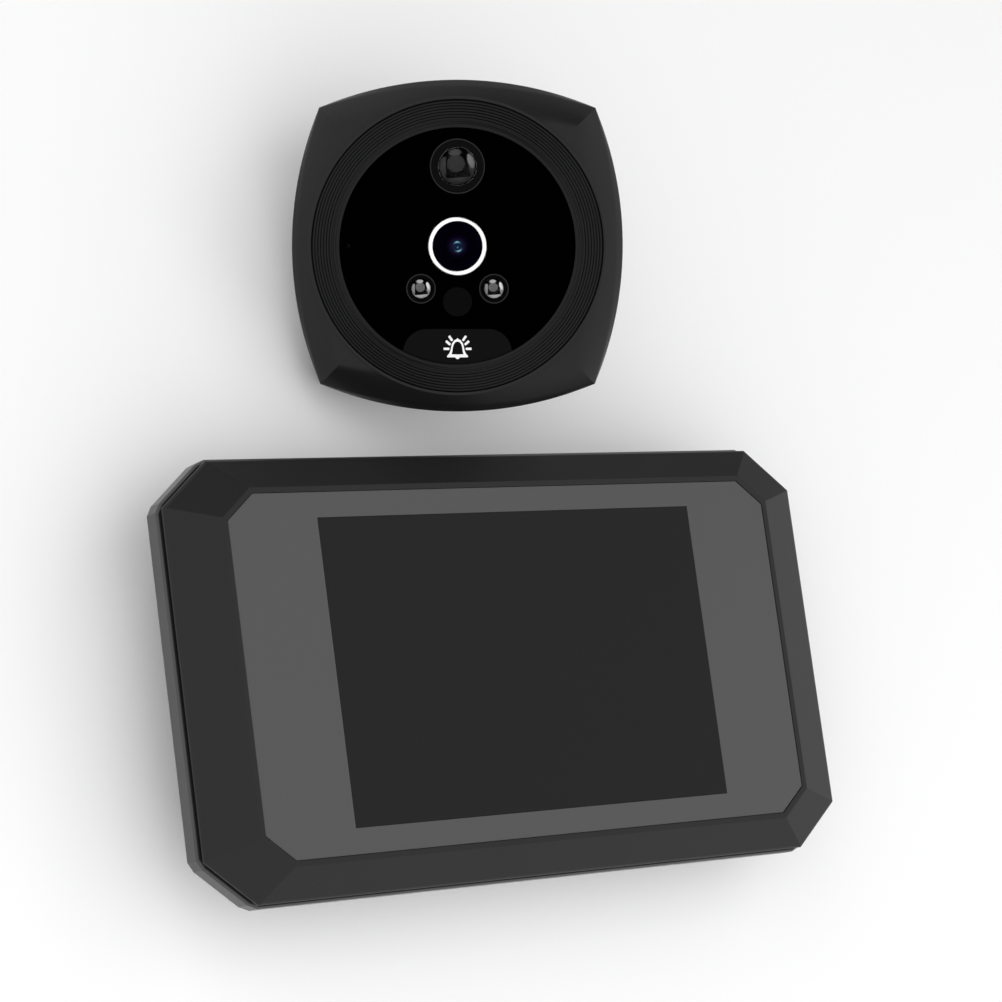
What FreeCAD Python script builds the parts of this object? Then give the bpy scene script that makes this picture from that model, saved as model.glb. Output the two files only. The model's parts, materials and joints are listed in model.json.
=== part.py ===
"""Peephole door camera kit: an indoor screen unit, its wall bracket and the outdoor camera head.

Lengths are in millimetres and +Z is up. The screen unit lies on its back with the screen up; the head
lies beside its top edge, tipped back on its rim and its threaded stem. Head pieces are built in the
head's own frame, z = 0 at the face that goes against the door, and are then placed together.
"""
import FreeCAD, Part
import math
import os
import Sketcher

V = FreeCAD.Vector
Rotation = FreeCAD.Rotation
Placement = FreeCAD.Placement
doc = FreeCAD.newDocument("peephole_camera")
sheet = doc.addObject("Spreadsheet::Sheet", "dims")

SIZES = {
    # screen unit: half widths, half heights and corner cuts of its eight-sided outlines
    "unit_top": 20.5, "lip_w": 53.9, "lip_h": 29.5, "lip_c": 5.43,
    "trim_w": 61.75, "trim_h": 34.305, "trim_c": 8.35, "trim_z": 17.265,
    "edge_w": 62.15, "edge_h": 34.55, "edge_c": 8.5, "edge_z": 16.95, "reveal_z": 16.7,
    "rim_w": 62.65, "rim_h": 35.05, "rim_c": 8.82, "rim_top": 16.25, "rim_low": 12.6, "rim_round": 0.45,
    "rear_w": 54.4, "rear_h": 29.2, "rear_c": 7.5, "rear_z": 1.3,
    "plate_w": 52.95, "plate_h": 28.55, "plate_c": 4.9, "cut_ratio": 0.847, "soft_share": 0.1,
    "screen_w": 36.72, "screen_h": 24.48, "seat_z": 18.9, "pocket_z": 15.9, "skirt_z": 12.6,
    "wall": 1.6,
    "lcd_low": 15.7, "lcd_high": 18.2, "lcd_hw": 42.35, "lcd_hh": 27.25, "lcd_off": 1.9,
    "board_low": 12.9, "board_thick": 1.2, "post_x": 48.6, "post_y": 23.6,
    # battery bay and its sliding door
    "bay_left": -44.8, "bay_right": 4.1, "bay_half": 16.3, "bay_top": 14.0,
    "cell_r": 5.25, "cell_len": 43.7, "cell_z": 8.4, "cell_pitch": 10.8,
    "door_thick": 1.5, "tongue": 1.0, "door_gap": 0.1,
    # wall bracket
    "sheet_metal": 1.2, "bracket_w": 53.0, "bracket_h": 24.0, "hook_x": 51.4, "hook_w": 2.8,
    "hook_travel": 5.5, "cable_x": 14.0, "cable_r": 7.0, "fix_y": 17.0, "fix_r": 2.1,
    # side button
    "key_y": 8.0, "key_z": 9.5, "key_half": 4.5, "key_r": 1.8, "key_out": 60.9, "key_pad": 56.6,
    # head outline, layers and pose
    "head_half": 27.05, "head_corner": 22.5, "bevel_half": 26.1, "head_wall": 1.8,
    "wall_low": 0.6, "wall_high": 7.0, "bevel_high": 8.0, "face_z": 12.3, "face_r": 24.15,
    "swell_half": 23.35, "swell_corner": 20.8, "swell_z": 10.07, "knee_half": 20.6, "knee_corner": 19.1,
    "knee_z": 11.4, "crown_half": 18.6, "crown_corner": 17.4, "crown_z": 11.72,
    "groove_r": 23.7, "ring_r": 23.15, "window_r": 19.15, "glass_low": 10.0, "glass_high": 11.5,
    "head_x": -1.30, "head_y": 69.84, "head_z": 17.598, "tilt": 37.16, "lean": -158.30, "spin": 154.87,
    "stem_r": 6.5, "stem_bore": 4.5, "stem_len": 17.15, "relief": 0.5, "plate_high": 1.8,
    "head_board_low": 3.8, "head_board_r": 21.8, "head_screw": 19.4,
    # things in the head's window
    "lens_ring_r": 4.85, "lens_hole_r": 3.9, "motion_y": 12.9, "motion_ring_r": 4.48, "motion_dome_r": 3.07,
    "lamp_x": 5.92, "lamp_y": -6.88, "lamp_ring_r": 2.43, "lamp_dome_r": 1.65,
    "sensor_y": -9.0, "sensor_r": 2.38, "mic_x": -17.68, "mic_r": 0.37,
    "bell_top": -13.4, "bell_half": 8.82, "bell_round": 3.82, "bell_face": 11.65,
}


class Dim:
    """A spreadsheet expression together with its present value."""

    def __init__(self, text, value):
        self.text = text
        self.value = value

    def __add__(self, other):
        return Dim("(%s + %s)" % (self.text, text_of(other)), self.value + value_of(other))

    __radd__ = __add__

    def __sub__(self, other):
        return Dim("(%s - %s)" % (self.text, text_of(other)), self.value - value_of(other))

    def __rsub__(self, other):
        return Dim("(%s - %s)" % (text_of(other), self.text), value_of(other) - self.value)

    def __mul__(self, other):
        return Dim("(%s * %s)" % (self.text, text_of(other)), self.value * value_of(other))

    __rmul__ = __mul__

    def __truediv__(self, other):
        return Dim("(%s / %s)" % (self.text, text_of(other)), self.value / value_of(other))

    def __neg__(self):
        return Dim("(0 - %s)" % self.text, -self.value)

    def root(self):
        return Dim("sqrt(%s)" % self.text, math.sqrt(self.value))


def text_of(item):
    return item.text if isinstance(item, Dim) else "(%.6g)" % item


def value_of(item):
    return item.value if isinstance(item, Dim) else float(item)


class Names:
    """Holds one Dim per spreadsheet name."""


d = Names()
for row, (alias, number) in enumerate(SIZES.items(), start=1):
    sheet.set("A%d" % row, alias)
    sheet.set("B%d" % row, str(number))
    sheet.setAlias("B%d" % row, alias)
    setattr(d, alias, Dim("dims." + alias, number))
doc.recompute()

HEAD_TURN = (Rotation(V(0, 0, 1), SIZES["lean"]) * Rotation(V(0, 1, 0), SIZES["tilt"])
             * Rotation(V(0, 0, 1), SIZES["spin"]))
BOARD_FIXINGS = ((10.0, 24.0), (53.6, -6.0))
SPEAKER_X = 36
SPEAKER_Y = -12
nodes = []


def bind(obj, prop, item):
    """Set a property, tied to the spreadsheet when the value comes from there."""
    setattr(obj, prop, value_of(item))
    if isinstance(item, Dim):
        obj.setExpression(prop, item.text)


def place(obj, x, y, z, turn=None):
    obj.Placement = Placement(V(value_of(x), value_of(y), value_of(z)), turn or Rotation())
    for letter, item in zip("xyz", (x, y, z)):
        if isinstance(item, Dim):
            obj.setExpression("Placement.Base." + letter, item.text)
    return obj


def box(x0, x1, y0, y1, z0, z1):
    obj = doc.addObject("Part::Box", "Box")
    bind(obj, "Length", x1 - x0)
    bind(obj, "Width", y1 - y0)
    bind(obj, "Height", z1 - z0)
    return place(obj, x0, y0, z0)


def cyl(x, y, z0, z1, r, turn=None):
    """Cylinder from z0 to z1, or along the turned axis when a turn is given."""
    obj = doc.addObject("Part::Cylinder", "Cylinder")
    bind(obj, "Radius", r)
    bind(obj, "Height", z1 - z0)
    return place(obj, x, y, z0, turn)


def rod(x0, x1, y, z, r):
    """Cylinder along +X from x0 to x1."""
    obj = doc.addObject("Part::Cylinder", "Rod")
    bind(obj, "Radius", r)
    bind(obj, "Height", x1 - x0)
    return place(obj, x0, y, z, Rotation(V(0, 1, 0), 90))


def fuse(*shapes):
    if len(shapes) == 1:
        return shapes[0]
    obj = doc.addObject("Part::MultiFuse", "Fuse")
    obj.Shapes = list(shapes)
    return obj


def common(first, second):
    obj = doc.addObject("Part::MultiCommon", "Common")
    obj.Shapes = [first, second]
    return obj


def cut(base, *tools):
    obj = doc.addObject("Part::Cut", "Cut")
    obj.Base = base
    obj.Tool = fuse(*tools)
    return obj


def group(*shapes):
    obj = doc.addObject("Part::Compound", "Group")
    obj.Links = list(shapes)
    return obj


def node(label, obj, in_head=False):
    """Name a finished piece; a head piece is also moved to where the head lies."""
    if in_head:
        if obj.Placement.Base.Length > 0:
            obj = group(obj)
        place(obj, d.head_x, d.head_y, d.head_z, HEAD_TURN)
    obj.Label = label
    nodes.append(obj)
    return obj


def new_body():
    return doc.addObject("PartDesign::Body", "Body")


def new_sketch(body, role, offset=0):
    sk = body.newObject("Sketcher::SketchObject", "Outline")
    plane = [item for item in body.Origin.OriginFeatures if item.Role == role][0]
    sk.AttachmentSupport = [(plane, "")]
    sk.MapMode = "FlatFace"
    sk.AttachmentOffset = Placement(V(0, 0, value_of(offset)), Rotation())
    if isinstance(offset, Dim):
        sk.setExpression("AttachmentOffset.Base.z", offset.text)
    return sk


def pin_point(sk, geo, x, y):
    """Fix the start of one sketch edge at x, y from the origin."""
    for kind, item, axis in (("DistanceX", x, -2), ("DistanceY", y, -1)):
        number = value_of(item)
        if abs(number) < 1e-9:
            sk.addConstraint(Sketcher.Constraint("PointOnObject", geo, 1, axis))
            continue
        ends = (-1, 1, geo, 1) if number > 0 else (geo, 1, -1, 1)
        index = sk.addConstraint(Sketcher.Constraint(kind, *ends, abs(number)))
        if isinstance(item, Dim):
            sk.setExpression("Constraints[%d]" % index, item.text if number > 0 else (-item).text)


def join_edges(sk, count):
    for i in range(count):
        sk.addConstraint(Sketcher.Constraint("Coincident", i, 2, (i + 1) % count, 1))


def line_sketch(body, role, points, offset=0):
    """Closed outline of straight edges through the points."""
    sk = new_sketch(body, role, offset)
    flat = [V(value_of(x), value_of(y), 0) for x, y in points]
    edges = [Part.LineSegment(flat[i], flat[(i + 1) % len(flat)]) for i in range(len(flat))]
    sk.addGeometry(edges, False)
    join_edges(sk, len(flat))
    for i, (x, y) in enumerate(points):
        pin_point(sk, i, x, y)
    return sk


def arc_sketch(body, corner, radius, offset):
    """Four equal arcs that meet at (+-corner, +-corner)."""
    sk = new_sketch(body, "XY_Plane", offset)
    c = value_of(corner)
    r = value_of(radius)
    reach = math.sqrt(r * r - c * c) - c
    half = math.asin(c / r)
    for k in range(4):
        way = k * math.pi / 2
        centre = V(-reach * math.cos(way), -reach * math.sin(way), 0)
        circle = Part.Circle(centre, V(0, 0, 1), r)
        sk.addGeometry(Part.ArcOfCircle(circle, way - half, way + half), False)
    join_edges(sk, 4)
    for k, (sx, sy) in enumerate(((1, -1), (1, 1), (-1, 1), (-1, -1))):
        pin_point(sk, k, sx * corner, sy * corner)
        index = sk.addConstraint(Sketcher.Constraint("Radius", k, r))
        sk.setExpression("Constraints[%d]" % index, text_of(radius))
    return sk


def pad(body, sk, length):
    feature = body.newObject("PartDesign::Pad", "Pad")
    feature.Profile = sk
    bind(feature, "Length", length)
    body.Tip = feature
    return body


def loft(body, first, second):
    feature = body.newObject("PartDesign::AdditiveLoft", "Loft")
    feature.Profile = first
    feature.Sections = [second]
    feature.Ruled = True
    body.Tip = feature
    return body


def prism(points, z0, z1):
    body = new_body()
    return pad(body, line_sketch(body, "XY_Plane", points, z0), z1 - z0)


def frustum(low, z0, high, z1):
    body = new_body()
    return loft(body, line_sketch(body, "XY_Plane", low, z0), line_sketch(body, "XY_Plane", high, z1))


def lathe(points, x=0, y=0):
    """Turned piece: points are radius and height; it is moved to x, y."""
    body = new_body()
    sk = line_sketch(body, "XZ_Plane", points)
    feature = body.newObject("PartDesign::Revolution", "Turned")
    feature.Profile = sk
    feature.ReferenceAxis = (sk, ["V_Axis"])
    feature.Angle = 360
    body.Tip = feature
    return place(body, x, y, 0)


def octagon(w, h, c, soft=None):
    """Eight-sided outline with corners cut by c; soft trims each corner a little, as a rounding does."""
    e = c * d.cut_ratio
    quarter = [(w, h - e), (w - c, h)]
    if soft is not None:
        quarter = [(w, h - e - soft * e), (w - soft * c, h - e + soft * e),
                   (w - c + soft * c, h - soft * e), (w - c - soft * c, h)]
    turned = [(-x, y) for x, y in reversed(quarter)]
    lower = [(-x, -y) for x, y in quarter]
    right = [(x, -y) for x, y in reversed(quarter)]
    return quarter + turned + lower + right


def edge_octagon(inset):
    return octagon(d.edge_w - inset, d.edge_h - inset, d.edge_c - 0.45 * inset)


def make_screen_unit():
    trim = octagon(d.trim_w, d.trim_h, d.trim_c)
    bezel = fuse(
        frustum(trim, d.trim_z, octagon(d.lip_w, d.lip_h, d.lip_c), d.unit_top),
        frustum(edge_octagon(0), d.edge_z, trim, d.trim_z),
        prism(edge_octagon(0), d.reveal_z, d.edge_z),
        prism(edge_octagon(0.5), d.rim_top, d.reveal_z),
        prism(edge_octagon(1.0), d.skirt_z, d.rim_top))
    hollow = fuse(
        prism(edge_octagon(2.2), d.skirt_z - 1, d.pocket_z),
        frustum(edge_octagon(2.2), d.pocket_z,
                octagon(d.plate_w - 0.75, d.plate_h - 0.35, d.plate_c), d.seat_z - 0.6),
        prism(octagon(d.plate_w - 1.6, d.plate_h - 1.6, d.plate_c - 0.7), d.seat_z - 1, d.seat_z + 0.5),
        prism(octagon(d.plate_w + 0.06, d.plate_h + 0.06, d.plate_c), d.seat_z, d.unit_top + 1))
    posts = [cyl(sx * d.post_x, sy * d.post_y, 10.0, 18.3, 2.6) for sx in (-1, 1) for sy in (-1, 1)]
    pilots = [cyl(sx * d.post_x, sy * d.post_y, 9.0, 16.0, 0.97) for sx in (-1, 1) for sy in (-1, 1)]
    node("monitor_bezel", cut(fuse(cut(bezel, hollow), *posts), *pilots))

    plate = prism(octagon(d.plate_w, d.plate_h, d.plate_c), d.seat_z, d.unit_top - 0.1)
    w = d.screen_w
    h = d.screen_h
    node("front_panel", cut(plate, box(-w, w, -h, h, d.seat_z - 1, d.unit_top + 1)))
    node("screen_glass", box(-w + 0.04, w - 0.04, -h + 0.04, h - 0.04, d.lcd_high, d.unit_top - 0.12))
    node("lcd_gasket", cut(box(-w - 1.8, w + 1.8, -h - 1.7, h + 1.7, d.lcd_high, d.seat_z),
                           box(-w - 0.1, w + 0.1, -h - 0.1, h + 0.1, 17, 20)))
    lcd = box(d.lcd_off - d.lcd_hw, d.lcd_off + d.lcd_hw, -d.lcd_hh, d.lcd_hh, d.lcd_low, d.lcd_high)
    node("lcd_module", cut(lcd, box(38.6, 50, -d.lcd_hh + 0.8, d.lcd_hh - 0.8, d.lcd_low + 1.3, 19)))
    frame = box(-45.4, 45.4, -29, 29, d.lcd_low - 0.75, d.lcd_low)
    node("lcd_frame", cut(frame, box(9, 41, -18, 18, 10, 20), box(-40, 0, -12, 12, 10, 20),
                          cyl(-42.5, -26, 10, 20, 1.2), cyl(-42.5, 26, 10, 20, 1.2)))


def make_rear_shell():
    """Tray with upright sides, a shoulder below the open joint to the bezel, and a back that tapers in."""
    rim = octagon(d.rim_w, d.rim_h, d.rim_c, d.soft_share)
    rear = octagon(d.rear_w, d.rear_h, d.rear_c, d.soft_share)
    shoulder = octagon(d.rim_w - d.rim_round, d.rim_h - d.rim_round, d.rim_c - 0.4 * d.rim_round, d.soft_share)
    outside = fuse(frustum(rim, d.rim_top - d.rim_round, shoulder, d.rim_top),
                   prism(rim, d.rim_low, d.rim_top - d.rim_round),
                   frustum(rear, d.rear_z, rim, d.rim_low))
    hollow = fuse(
        prism(edge_octagon(0.9), d.skirt_z - 0.1, d.rim_top + 1),
        frustum(octagon(d.rear_w - 0.8, d.rear_h - 0.9, d.rear_c - 0.5), d.rear_z + d.wall,
                edge_octagon(1.25), d.skirt_z - 0.1))
    bay_walls = box(d.bay_left - 1.2, d.bay_right + 1.2, -d.bay_half - 1.2, d.bay_half + 1.2,
                    d.rear_z + d.wall, d.bay_top + 0.9)
    sill = box(d.bay_left - 1.2, d.bay_right + 1.2, -28.9, -d.bay_half, d.rear_z + d.wall, 3.8)
    posts = [cyl(sx * d.post_x, sy * d.post_y, 2.0, 9.95, 2.8) for sx in (-1, 1) for sy in (-1, 1)]
    board_posts = [cyl(x, y, 2.0, d.board_low, 2.0) for x, y in BOARD_FIXINGS]
    key_pad = common(outside, box(d.key_pad, 62, d.key_y - 7, d.key_y + 7, 6.4, d.skirt_z - 0.1))
    shell = fuse(cut(outside, hollow), bay_walls, sill, key_pad, *posts, *board_posts)

    left = d.bay_left - 0.5
    right = d.bay_right + 0.4
    holes = [
        box(d.bay_left, d.bay_right, -d.bay_half, d.bay_half, 1.0, d.bay_top),
        box(left - 0.1, right + 0.1, -33, d.bay_half + 1.1, 2.1, d.rear_z + d.wall),
        box(left + d.tongue - 0.1, right - d.tongue + 0.1, -33, d.bay_half + 1.1, 0.5, 2.2),
        box(d.cable_x - 6, d.cable_x + 6, -3.5, 3.5, 0.5, 3.5),
    ]
    for sx in (-1, 1):
        near = sx * d.hook_x - (d.hook_w / 2 + 0.2)
        for leg in (14.0, -13.0):
            holes.append(box(near, near + (d.hook_w + 0.4), leg - d.hook_travel - 0.2, leg + 1.4, 0.5, 3.0))
        for sy in (-1, 1):
            holes.append(cyl(sx * d.post_x, sy * d.post_y, 0.5, 3.2, 2.1))
            holes.append(cyl(sx * d.post_x, sy * d.post_y, 3.0, 11.0, 1.15))
    for x, y in BOARD_FIXINGS:
        holes.append(cyl(x, y, 8.0, 13.5, 0.82))
    for k, half in ((-2, 3.0), (-1, 4.6), (0, 5.2), (1, 4.6), (2, 3.0)):
        y = SPEAKER_Y + 2.1 * k
        holes.append(box(SPEAKER_X - half, SPEAKER_X + half, y - 0.5, y + 0.5, 0.5, 3.2))
    holes.append(key_shape(0.08, 50, 66))
    node("rear_shell", cut(shell, *holes))


def key_shape(grow, x0, x1):
    """Long rounded bar along +X, the outline of the side button."""
    half = d.key_half - d.key_r
    r = d.key_r + grow
    return fuse(box(x0, x1, d.key_y - half, d.key_y + half, d.key_z - r, d.key_z + r),
                rod(x0, x1, d.key_y - half, d.key_z, r), rod(x0, x1, d.key_y + half, d.key_z, r))


def make_monitor_inside():
    top = d.board_low + d.board_thick
    board = box(7.0, 56.0, -28.0, 28.0, d.board_low, top)
    corners = [box(45.2, 60, sy * 24.4 - 4.4, sy * 24.4 + 4.4, 10, 18) for sy in (-1, 1)]
    drills = [cyl(x, y, 10, 18, 1.1) for x, y in BOARD_FIXINGS]
    node("main_board", cut(board, *corners, *drills))
    node("board_chips", group(box(18, 28, 4, 14, top, top + 0.9), box(31, 38, 6, 12, top, top + 0.8),
                              box(16, 22, -14, -8, top, top + 0.9), box(34, 37, -10, -7, top, top + 0.7)))
    node("board_screws", group(*[
        fuse(cyl(x, y, 9.5, top, 0.8), cyl(x, y, top, top + 0.8, 1.7)) for x, y in BOARD_FIXINGS]))
    socket = box(d.cable_x - 5, d.cable_x + 5, -2.6, 2.6, 8.2, d.board_low)
    node("ribbon_socket", cut(socket, box(d.cable_x - 4.2, d.cable_x + 4.2, -1.6, 1.6, 7.5, 11.8)))
    node("speaker", lathe([(0, 7.4), (5.5, 7.4), (5.5, 5.4), (9.0, 5.4), (9.0, 2.95), (0, 2.95)],
                          SPEAKER_X, SPEAKER_Y))

    cells = []
    springs = []
    plates = []
    for k in (-1, 0, 1):
        flip = -1 if k == 0 else 1
        mid = (d.bay_left + d.bay_right) / 2
        y = k * d.cell_pitch
        base = mid + flip * 1.2
        low = base - d.cell_len / 2
        high = base + d.cell_len / 2
        nub0, nub1 = (high, high + 0.8) if flip > 0 else (low - 0.8, low)
        cells.append(fuse(rod(low, high, y, d.cell_z, d.cell_r), rod(nub0, nub1, y, d.cell_z, 1.9)))
        far0, far1 = (d.bay_right - 0.45, d.bay_right) if flip > 0 else (d.bay_left, d.bay_left + 0.45)
        plates.append(box(far0, far1, y - 4, y + 4, 4.0, 12.8))
        start, stop = (d.bay_left, d.bay_left + 0.4) if flip > 0 else (d.bay_right - 0.4, d.bay_right)
        plates.append(box(start, stop, y - 4, y + 4, 4.0, 12.8))
        coil0, coil1 = (d.bay_left + 0.4, low) if flip > 0 else (high, d.bay_right - 0.4)
        springs.append(rod(coil0, coil1, y, d.cell_z, 2.6))
    node("battery_cells", group(*cells))
    node("battery_plates", group(*plates))
    node("battery_springs", group(*springs))

    screws = []
    for sx in (-1, 1):
        for sy in (-1, 1):
            x = sx * d.post_x
            y = sy * d.post_y
            screws.append(fuse(cyl(x, y, 1.9, 3.2, 1.9), cyl(x, y, 3.2, 14.5, 0.95)))
    node("case_screws", group(*screws))


def make_moving_monitor_pieces():
    left = d.bay_left - 0.5
    right = d.bay_right + 0.4
    end = d.bay_half + 1.0
    door = fuse(box(left + d.tongue, right - d.tongue, -29.15, end, d.rear_z, d.rear_z + 1.0),
                box(left, right, -29.15, end, 2.15, d.rear_z + d.door_thick))
    grips = [box(-31.0, -9.5, y, y + 0.9, 0.5, d.rear_z + 0.35) for y in (-26.5, -24.7, -22.9, -21.1)]
    node("battery_door", cut(door, *grips))

    key = fuse(key_shape(0, 56.4, d.key_out),
               box(55.3, 56.5, d.key_y - 5.8, d.key_y + 5.8, d.key_z - 2.7, d.key_z + 2.7))
    node("view_button", key)
    node("view_plunger", rod(53.0, 55.3, d.key_y, d.key_z, 0.75))
    body = box(50.2, 54.4, d.key_y - 3, d.key_y + 3, 7.6, d.board_low)
    node("view_switch", cut(body, rod(52.0, 55.0, d.key_y, d.key_z, 0.8)))


def make_bracket():
    w = d.bracket_w
    h = d.bracket_h
    plate = prism(octagon(w, h, 5.0), 0, d.sheet_metal)
    legs = []
    for sx in (-1, 1):
        near = sx * d.hook_x - d.hook_w / 2
        far = near + d.hook_w
        for leg in (14.0, -13.0):
            legs.append(box(near, far, leg, leg + 1.2, 0.4, 4.3))
            legs.append(box(near, far, leg, leg + 4.8, 3.1, 4.3))
    holes = [cyl(d.cable_x, 0, -1, 3, d.cable_r), cyl(SPEAKER_X, SPEAKER_Y, -1, 3, 6.2)]
    for sy in (-1, 1):
        holes.append(cyl(d.cable_x, sy * d.fix_y, -1, 3, d.fix_r))
    node("wall_bracket", fuse(cut(plate, *holes), *legs))


def arc_radius(half, corner):
    """Radius of a side that bulges from corner to half over a width of two corners."""
    rise = half - corner
    return (corner * corner + rise * rise) / (2 * rise)


def inset_outline(inset):
    """Corner and radius of the head's outline moved inwards."""
    radius = arc_radius(d.head_half, d.head_corner)
    back = radius - d.head_half
    inner = radius - inset
    corner = ((2 * inner * inner - back * back).root() - back) / 2
    return corner, inner


def arc_prism(inset, z0, z1):
    body = new_body()
    corner, radius = inset_outline(inset)
    return pad(body, arc_sketch(body, corner, radius, z0), z1 - z0)


def pillow(levels):
    """Lofts between outlines of four bulged sides; each level is half width, corner and height."""
    layers = []
    for low, high in zip(levels, levels[1:]):
        body = new_body()
        outlines = [arc_sketch(body, corner, arc_radius(half, corner), z) for half, corner, z in (low, high)]
        layers.append(loft(body, *outlines))
    return layers


def make_head_case():
    """Pillow-shaped housing: upright wall, bevel, two swelling slopes up to a knee, a gentle crown, and a round
    collar that stands through them and holds the grooved ring."""
    base = arc_prism(0, d.wall_low, d.wall_high)
    slopes = pillow([(d.head_half, d.head_corner, d.wall_high), (d.bevel_half, d.head_corner, d.bevel_high),
                     (d.swell_half, d.swell_corner, d.swell_z), (d.knee_half, d.knee_corner, d.knee_z),
                     (d.crown_half, d.crown_corner, d.crown_z)])
    collar = cyl(0, 0, d.bevel_high, d.face_z, d.face_r)
    at = [(sx * d.head_screw, sy * d.head_screw) for sx in (-1, 1) for sy in (-1, 1)]
    board_top = d.head_board_low + 1.2
    shell = cut(fuse(base, collar, *slopes), arc_prism(d.head_wall, 0, board_top), cyl(0, 0, 2, 13, 18.6),
                cyl(0, 0, d.glass_low, 14, d.groove_r))
    bosses = [cyl(x, y, d.plate_high + 0.1, board_top + 0.1, 2.1) for x, y in at]
    pilots = [cyl(x, y, 1.0, 7.0, 0.82) for x, y in at]
    node("head_bezel", cut(fuse(shell, *bosses), *pilots), True)

    plate = arc_prism(d.head_wall + 0.1, d.wall_low, d.plate_high)
    drills = [cyl(x, y, 0, 3, 1.1) for x, y in at]
    node("head_back_plate", cut(plate, cyl(0, 0, -1, 4, 7.45), *drills), True)
    clearances = [cyl(x, y, -1, 2, 2.4) for x, y in at]
    node("foam_gasket", cut(arc_prism(2.6, 0, d.wall_low), cyl(0, 0, -1, 2, 9.0), *clearances), True)
    screws = [fuse(cyl(x, y, 0.1, d.wall_low, 1.8), cyl(x, y, d.wall_low, 6.5, 0.8)) for x, y in at]
    node("head_screws", group(*screws), True)


def make_window():
    """Finely grooved ring that holds the gloss window down on its seat, and the window."""
    ridge = 20.45
    pitch = (d.ring_r - ridge) / 6
    profile = [(d.window_r, d.glass_high), (d.window_r, 12.0), (19.75, d.face_z), (ridge, d.face_z)]
    for k in range(6):
        profile.append((ridge + pitch * (k + 0.5), d.face_z - 0.2))
        profile.append((ridge + pitch * (k + 1), d.face_z))
    profile += [(d.ring_r + 0.12, d.face_z - 0.5), (d.groove_r - 0.06, d.face_z - 0.6),
                (d.groove_r - 0.06, d.glass_low), (20.7, d.glass_low), (20.7, d.glass_high)]
    node("grooved_ring", lathe(profile), True)

    glass = cyl(0, 0, d.glass_low, d.glass_high, 20.6)
    openings = [cyl(0, 0, 9, 13, 4.3), cyl(0, d.motion_y, 9, 13, d.motion_dome_r + 0.06),
                cyl(d.lamp_x, d.lamp_y, 9, 13, d.lamp_dome_r + 0.06),
                cyl(-d.lamp_x, d.lamp_y, 9, 13, d.lamp_dome_r + 0.06),
                cyl(0, d.sensor_y, 9, 13, d.sensor_r + 0.04), cyl(d.mic_x, 0, 9, 13, d.mic_r),
                bell_shape(0.1, 19.3, 9, 13)]
    node("front_window", cut(glass, *openings), True)


def make_stem():
    """Hollow stem with a collar and a flange inside the head; its thread is left to the rendering."""
    r = d.stem_r
    profile = [(d.stem_bore, -d.stem_len), (d.stem_bore, d.plate_high + 0.8), (10.0, d.plate_high + 0.8),
               (10.0, d.plate_high), (7.4, d.plate_high), (7.4, d.wall_low), (r - 0.5, d.wall_low),
               (r - 0.5, -d.relief), (r, -d.relief), (r, -d.stem_len)]
    node("threaded_stem", lathe(profile), True)


def bell_shape(grow, outer, z0, z1):
    """Door-bell button outline: flat top, round shoulders, bounded below by a circle."""
    half = d.bell_half - d.bell_round
    mid = d.bell_top - d.bell_round
    tall = box(-half, half, -24.0, d.bell_top + grow, z0, z1)
    wide = box(-d.bell_half - grow, d.bell_half + grow, -24.0, mid, z0, z1)
    arms = [cyl(sx * half, mid, z0, z1, d.bell_round + grow) for sx in (-1, 1)]
    return common(fuse(tall, wide, *arms), cyl(0, 0, z0, z1, outer))


def make_bell_button():
    button = fuse(bell_shape(0, 19.05, 10.85, d.bell_face), bell_shape(0, 18.3, 9.8, 10.9),
                  bell_shape(0.8, 18.3, 8.8, 9.88))
    node("bell_button", button, True)
    node("bell_plunger", cyl(0, -15.6, 7.0, 8.8, 0.75), True)
    body = box(-3, 3, -17.4, -13.8, d.head_board_low + 1.2, 8.0)
    node("bell_switch", cut(body, cyl(0, -15.6, 6.0, 9, 0.85)), True)


def make_lens():
    high = d.glass_high
    board = d.head_board_low + 1.2
    node("lens_ring", lathe([(d.lens_hole_r, high), (d.lens_hole_r + 0.2, high + 0.5),
                             (d.lens_ring_r - 0.25, high + 0.5), (d.lens_ring_r, high + 0.2),
                             (d.lens_ring_r, high)]), True)
    node("lens_barrel", lathe([(1.2, 7.6), (3.85, 7.6), (3.85, 11.45), (3.45, 11.45), (2.6, 10.4),
                               (2.05, 9.7), (2.05, 8.4), (1.2, 8.4)]), True)
    node("lens_glass", lathe([(0, 8.4), (2.0, 8.4), (2.0, 9.24), (0, 9.9)]), True)
    node("camera_module", fuse(box(-4.5, 4.5, -4.5, 4.5, board, 7.6), cyl(0, 0, 7.6, 8.3, 1.15)), True)


def washer(x, y, hole, outer, height):
    """Flat collar that lies on the window."""
    low = d.glass_high
    return lathe([(hole, low), (hole, low + height), (outer, low + height), (outer, low)], x, y)


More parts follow.
